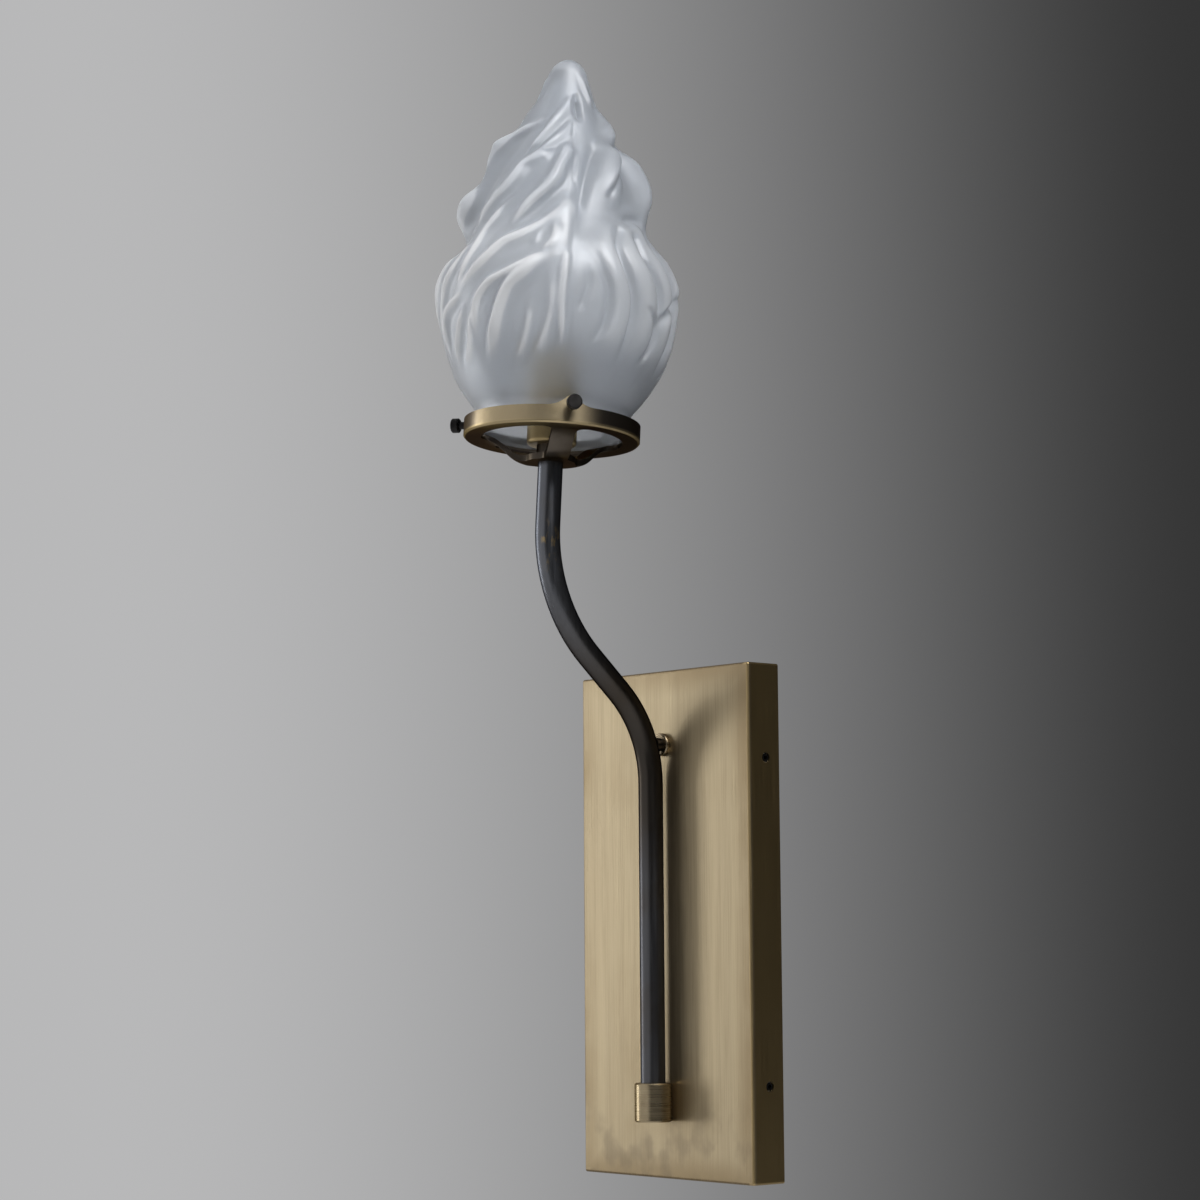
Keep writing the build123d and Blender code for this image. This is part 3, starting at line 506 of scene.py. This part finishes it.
def plate_brass():
    """Antique brass sheet brushed upwards, clouded, smudged, dark-edged, with a painted highlight at +X and
    painted shade on its sides.
    """
    look = Look("plate_brass", Metallic=1.0)
    grain = look.noise(1.0, (1800, 1800, 22), detail=5)
    broad = look.noise(1.0, (140, 140, 5), detail=3)
    cloud = look.noise(11.0, (1, 1, 0.8), detail=4, shift=(0.3, 0, 0.1))
    spots = look.noise(52.0, (1, 1, 0.8), detail=3, shift=(0.426, 0, 0.2))
    base = look.mix(look.span(grain, 0.35, 0.65), *PLATE_GRAIN)
    base = look.mix(look.span(broad, 0.35, 0.7, 0.0, 0.5), base, PLATE_STREAKS)
    base = look.mix(look.span(cloud, 0.48, 0.76, 0.0, 0.6), base, PLATE_PATINA)
    low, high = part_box("backplate_cover")
    axes = look.axes()
    near_side = look.math("SUBTRACT", high.x, look.math("ABSOLUTE", axes["X"]))
    near_end = look.math("SUBTRACT", high.z, look.math("ABSOLUTE", axes["Z"]))
    near_front = look.math("SUBTRACT", axes["Y"], low.y)
    to_rim = look.math("MINIMUM", near_side, near_end)
    corner = look.math("MAXIMUM", to_rim, near_front)
    near_rim = look.span(to_rim, *PLATE_RIM_REACH, 1.0, 0.0)
    shaded = look.math("MULTIPLY", near_rim, look.span(cloud, 0.32, 0.58, 0.1, 0.8))
    base = look.mix(shaded, base, PLATE_RIM)
    near_foot = look.span(axes["Z"], *(low.z + reach for reach in PLATE_SMUDGE_REACH), 0.46, 0.0)
    smudge = look.math("MULTIPLY", near_foot, look.span(spots, 0.46, 0.66))
    base = look.mix(smudge, base, PLATE_SMUDGE)
    at_edge = look.span(corner, *PLATE_EDGE_REACH, 1.0, 0.0)
    ragged = look.math("MULTIPLY", at_edge, look.span(grain, 0.3, 0.6, 0.35, 1.0))
    # Painted shade on the sides of the box, darker than its front
    base = look.mix(look.span(near_front, *PLATE_SIDE_SHADE_REACH, 0.0, 0.85), base, PLATE_SIDE_SHADE)
    # Dark edges, with a painted highlight along the edge at +X
    edge_highlight_side = look.span(axes["X"], *(high.x - reach for reach in PLATE_EDGE_HIGHLIGHT_REACH))
    edge = look.mix(edge_highlight_side, PLATE_EDGE, PLATE_EDGE_HIGHLIGHT)
    look.colour(look.mix(ragged, base, edge))
    look.roughness(look.span(grain, 0.2, 0.8, 0.34, 0.46))
    look.bump(grain, 0.00006)
    return look.material


def cast_brass():
    """Dark antique brass of the gallery: painted shade on its far side and underside, a painted sheen of bright
    brass on its front side and a painted highlight along its band's lower edge.
    """
    look = Look("cast_brass", Metallic=1.0, Specular_Tint=(0.28, 0.24, 0.18, 1))
    cloud = look.noise(38.0, detail=5)
    grain = look.noise(1.0, (160, 160, 900), detail=4)
    base = look.mix(look.span(cloud, 0.35, 0.7), *GALLERY_CLOUDS)
    # Painted shade on the side away from the light
    far_shade = look.span(look.along(FAR_SHADE_SIDE, on_axis), *FAR_SHADE_REACH, 0.0, 0.7)
    base = look.mix(far_shade, base, GALLERY_FAR_SHADE)
    # Painted sheen on the side towards the front
    sheen = look.span(look.along(SHEEN_SIDE, on_axis), *SHEEN_REACH, 0.0, 0.95)
    ragged = look.span(cloud, 0.25, 0.65, 1.0, 0.6)
    base = look.mix(look.math("MULTIPLY", sheen, ragged), base, GALLERY_SHEEN)
    rim_start, rim_full = (RING_RADIUS - depth for depth in RIM_DEPTH)
    rim = [v.co for v in nodes["gallery"].data.vertices if off_axis(v.co) > rim_full]
    band_foot = min((point - on_axis).dot(head_axis) for point in rim)
    above_foot = look.math("SUBTRACT", look.along(head_axis, on_axis), band_foot)
    # Painted shade under the band
    under = look.span(above_foot, *UNDERSIDE_SHADE_REACH, 0.55, 0.0)
    base = look.mix(under, base, GALLERY_UNDERSIDE_SHADE)
    across = look.along(head_right, on_axis)
    back = look.along(head_back, on_axis)
    across_squared = look.math("MULTIPLY", across, across)
    back_squared = look.math("MULTIPLY", back, back)
    radius = look.math("SQRT", look.math("ADD", across_squared, back_squared))
    outer = look.span(radius, rim_start, rim_full)
    # Painted highlight along the band's lower outer edge
    edge = look.math("MULTIPLY", look.span(above_foot, *EDGE_REACH, 0.8, 0.0), outer)
    look.colour(look.mix(look.math("MULTIPLY", edge, ragged), base, GALLERY_EDGE_HIGHLIGHT))
    look.roughness(look.span(cloud, 0.3, 0.7, 0.30, 0.42))
    look.bump(grain, 0.00004)
    return look.material


def turned_brass():
    """Brass from a lathe, with fine rings across its axis and tarnished clouds."""
    look = Look("turned_brass", Metallic=1.0, Specular_Tint=(0.1, 0.08, 0.05, 1))
    rings = look.noise(1.0, (8, 8, 2200), detail=2)
    cloud = look.noise(60.0, detail=4)
    base = look.mix(look.span(rings, 0.35, 0.65), *LATHE_RINGS)
    look.colour(look.mix(look.span(cloud, 0.45, 0.75, 0.0, 0.6), base, LATHE_TARNISH))
    look.roughness(look.span(rings, 0.3, 0.7, 0.26, 0.32))
    look.bump(rings, 0.000002)
    return look.material


def dark_bronze():
    """Blue-grey bronze tube, drawn lengthwise, browned at its bend and worn to brass in spots above it."""
    look = Look("dark_bronze", Metallic=1.0, Specular_Tint=(0.08, 0.08, 0.09, 1))
    drawn = look.noise(1.0, (700, 700, 30), detail=5)
    cloud = look.noise(45.0, (1, 1, 0.6), detail=4)
    specks = look.noise(420.0, (1, 1, 0.4), detail=6)
    base = look.mix(look.span(drawn, 0.3, 0.7), *TUBE_GRAIN)
    base = look.mix(look.span(cloud, 0.45, 0.7, 0.0, 0.5), base, TUBE_CLOUDS)
    axes = look.axes()
    height = axes["Z"]
    below_run = look.span(height, *TUBE_BROWNED_TO, 0.9, 0.0)
    browned = look.math("MULTIPLY", below_run, look.span(height, *TUBE_BROWNED_FROM, 0.45, 1.0))
    base = look.mix(browned, base, TUBE_BROWNING)
    below_top = look.span(height, *TUBE_WORN_TO, 1.0, 0.0)
    worn_band = look.math("MULTIPLY", look.span(height, *TUBE_WORN_FROM), below_top)
    side_mask = look.math("MULTIPLY", worn_band, look.span(axes["X"], *TUBE_WORN_SIDE))
    worn = look.math("MULTIPLY", look.span(specks, 0.54, 0.68), side_mask)
    look.colour(look.mix(worn, base, TUBE_WORN))
    look.roughness(look.span(drawn, 0.25, 0.75, 0.28, 0.36))
    look.bump(drawn, 0.00001)
    return look.material


def plain_metal(name, dark, light, rough, scale=120.0):
    """Small metal parts: two close tones in fine clouds, with a slight grain."""
    look = Look(name, Metallic=1.0)
    cloud = look.noise(scale, detail=5)
    grain = look.noise(900.0, detail=3)
    look.colour(look.mix(look.span(cloud, 0.3, 0.7), dark, light))
    look.roughness(look.span(grain, 0.3, 0.7, rough - 0.06, rough + 0.08))
    look.bump(grain, 0.00004)
    return look.material


def moulded(name, dark, light, rough):
    """Moulded plastic or wire sheath with a faint orange-peel skin."""
    look = Look(name)
    cloud = look.noise(90.0, detail=3)
    skin = look.noise(1400.0, detail=2)
    look.colour(look.mix(look.span(cloud, 0.3, 0.7), dark, light))
    look.roughness(look.span(skin, 0.3, 0.7, rough - 0.05, rough + 0.08))
    look.bump(skin, 0.00005)
    return look.material


def frosted_glass():
    """Glass etched outside and smoother inside, bluish white, with a painted highlight on the crests, strongest on
    the lit side, and painted shade towards the top.
    """
    look = Look("frosted_glass", IOR=1.45, Coat_Weight=0.55, Coat_Roughness=0.35, Coat_IOR=1.7)
    crest = look.node("ShaderNodeAttribute", attribute_name="crest").outputs["Fac"]
    etched = look.node("ShaderNodeAttribute", attribute_name="etched").outputs["Fac"]
    frost = look.noise(1500.0, detail=3)
    cloud = look.noise(30.0, detail=3)
    # Painted highlight on the crests, strongest on the lit side; there the glass also lets less light through
    side_mask = look.span(look.along(GLASS_LIT_SIDE, on_axis), *GLASS_LIT_REACH, 0.35, 1.0)
    pale = look.math("MULTIPLY", look.span(crest, 0.5, 0.85), side_mask)
    base = look.mix(pale, GLASS_BODY, GLASS_CREST_HIGHLIGHT)
    base = look.mix(look.span(cloud, 0.4, 0.7, 0.0, 0.25), base, GLASS_CLOUDS)
    height = look.along(head_axis, shade_foot)
    # Painted shade towards the top
    look.colour(look.mix(look.span(height, *GLASS_TOP_SHADE_FROM, 0.0, 0.7), base, GLASS_TOP_SHADE))
    clearer_foot = look.span(height, *GLASS_FOOT_TO, 0.23, 0.0)
    clear = look.math("ADD", look.span(pale, 0.0, 1.0, 0.67, 0.25), clearer_foot)
    look.join(clear, look.shader.inputs["Transmission Weight"])
    frosting = look.span(frost, 0.3, 0.7, 0.50, 0.58)
    look.roughness(look.math("MULTIPLY", frosting, look.span(etched, 0.0, 1.0, 0.25, 1.0)))
    look.bump(frost, 0.00004)
    return look.material


looks = {
    "plate_brass": plate_brass(),
    "cast_brass": cast_brass(),
    "turned_brass": turned_brass(),
    "dark_bronze": dark_bronze(),
    "black_steel": plain_metal("black_steel", (0.022, 0.021, 0.021), (0.05, 0.047, 0.045), 0.42),
    "zinc_steel": plain_metal("zinc_steel", (0.50, 0.51, 0.52), (0.66, 0.67, 0.68), 0.34),
    "white_plastic": moulded("white_plastic", (0.78, 0.77, 0.73), (0.84, 0.83, 0.79), 0.45),
    "black_insulator": moulded("black_insulator", (0.02, 0.018, 0.016), (0.035, 0.03, 0.028), 0.35),
    "brown_sheath": moulded("brown_sheath", (0.12, 0.055, 0.025), (0.16, 0.075, 0.035), 0.45),
    "blue_sheath": moulded("blue_sheath", (0.03, 0.08, 0.30), (0.05, 0.12, 0.38), 0.45),
    "green_sheath": moulded("green_sheath", (0.10, 0.30, 0.06), (0.55, 0.52, 0.08), 0.45),
    "frosted_glass": frosted_glass(),
}
own_looks = {
    "lampholder_cup": plain_metal("satin_brass", (0.40, 0.30, 0.15), (0.50, 0.39, 0.21), 0.42, 40.0),
    "standoff_collar": plain_metal("worn_bronze", (0.16, 0.125, 0.08), (0.42, 0.33, 0.21), 0.28, 160.0),
}
for part in frame["record"]["subparts"]:
    mesh = nodes[part["node"]].data
    mesh.materials.clear()
    mesh.materials.append(own_looks.get(part["node"], looks[part["material_slot"]]))


# The shade's fine mesh in place of its solid
flame = bpy.data.objects.new("flame_shade", flame_mesh())
bpy.context.scene.collection.objects.link(flame)
flame.data.materials.append(looks["frosted_glass"])
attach(flame, "shade")
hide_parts("glass_shade")


# Stage: a pale floor below the light, and a studio that is bright on the left and dark on the right
FLOOR_DROP = 0.4
FLOOR_RADIUS = 1.8
FLOOR_SIDES = 96
FLOOR_GREYS = ((0.78, 0.78, 0.78), (0.81, 0.81, 0.81))
STUDIO_BRIGHT = (0.48, 0.48, 0.485)
STUDIO_DARK = (0.035, 0.035, 0.035)
BRIGHT_SIDE = Vector((-0.819, -0.574, 0))
STUDIO_FALL = (0.035, 0.42)  # how far a direction leans to the bright side where dark ends and bright begins
SOFTBOXES = (  # name, place, width, height, watts and tint
    ("key", (-1.77, -1.0, 0.35), 0.35, 1.5, 7.4, (0.96, 0.98, 1.0)),
    ("top", (0.5, -0.5, 1.9), 0.9, 0.9, 3.0, (0.97, 0.98, 1.0)),
    ("fill", (1.2, -0.3, 1.55), 1.1, 1.1, 29.0, (0.97, 0.98, 1.0)),
)
CAMERA_PLACE = (1.1274, -1.0168, -0.0095)
CAMERA_TURN = (49.77, 6.71, -0.36)  # yaw, pitch and roll in degrees
CAMERA_LENS = 87.0
CAMERA_SENSOR = 36.0


def add_floor():
    """A plain round floor."""
    level = cad_box[0].z - FLOOR_DROP
    turns = [2 * math.pi * k / FLOOR_SIDES for k in range(FLOOR_SIDES)]
    mesh = bpy.data.meshes.new("floor")
    rim = [(FLOOR_RADIUS * math.cos(a), FLOOR_RADIUS * math.sin(a), level) for a in turns]
    mesh.from_pydata(rim, [], [tuple(range(FLOOR_SIDES))])
    floor = bpy.data.objects.new("floor", mesh)
    bpy.context.scene.collection.objects.link(floor)
    look = Look("floor", Roughness=0.9)
    cloud = look.noise(3.0, detail=2)
    look.colour(look.mix(look.span(cloud, 0.3, 0.7), *FLOOR_GREYS))
    mesh.materials.append(look.material)


def add_world():
    """Grey light from all round, which falls off from the bright side to the dark one."""
    world = bpy.data.worlds.new("studio")
    world.use_nodes = True
    tree = world.node_tree
    toward = tree.nodes.new("ShaderNodeVectorMath")
    toward.operation = "DOT_PRODUCT"
    toward.inputs[1].default_value = BRIGHT_SIDE
    tree.links.new(tree.nodes.new("ShaderNodeTexCoord").outputs["Generated"], toward.inputs[0])
    fall = tree.nodes.new("ShaderNodeMapRange")
    fall.interpolation_type = "SMOOTHSTEP"
    fall.inputs["From Min"].default_value, fall.inputs["From Max"].default_value = STUDIO_FALL
    tree.links.new(toward.outputs["Value"], fall.inputs["Value"])
    grey = tree.nodes.new("ShaderNodeMix")
    grey.data_type = "RGBA"
    grey.inputs["A"].default_value = (*STUDIO_DARK, 1)
    grey.inputs["B"].default_value = (*STUDIO_BRIGHT, 1)
    tree.links.new(fall.outputs["Result"], grey.inputs["Factor"])
    tree.links.new(grey.outputs["Result"], tree.nodes["Background"].inputs["Color"])
    bpy.context.scene.world = world


def add_softbox(target, name, place, width, height, power, tint):
    """An area lamp aimed at a point."""
    lamp = bpy.data.lights.new(name, "AREA")
    lamp.shape = "RECTANGLE"
    lamp.size = width
    lamp.size_y = height
    lamp.energy = power
    lamp.color = tint
    holder = bpy.data.objects.new(name, lamp)
    holder.location = place
    holder.rotation_mode = "QUATERNION"
    holder.rotation_quaternion = (Vector(target) - Vector(place)).to_track_quat("-Z", "Y")
    bpy.context.scene.collection.objects.link(holder)


def add_camera():
    """The photograph's camera: its place, turn and lens."""
    yaw, pitch, roll = (math.radians(turn) for turn in CAMERA_TURN)
    reach = math.cos(pitch)
    forward = Vector((-math.sin(yaw) * reach, math.cos(yaw) * reach, math.sin(pitch)))
    level = Vector((math.cos(yaw), math.sin(yaw), 0))
    upright = level.cross(forward)
    right = level * math.cos(roll) + upright * math.sin(roll)
    up = upright * math.cos(roll) - level * math.sin(roll)
    data = bpy.data.cameras.new("camera")
    data.lens = CAMERA_LENS
    data.sensor_width = CAMERA_SENSOR
    camera = bpy.data.objects.new("camera", data)
    camera.matrix_world = Matrix((right, up, -forward)).transposed().to_4x4()
    camera.location = CAMERA_PLACE
    bpy.context.scene.collection.objects.link(camera)
    bpy.context.scene.camera = camera


add_floor()
add_world()
middle = (cad_box[0] + cad_box[1]) / 2
for softbox in SOFTBOXES:
    add_softbox(middle, *softbox)
add_camera()
bpy.context.scene.view_settings.view_transform = "Standard"
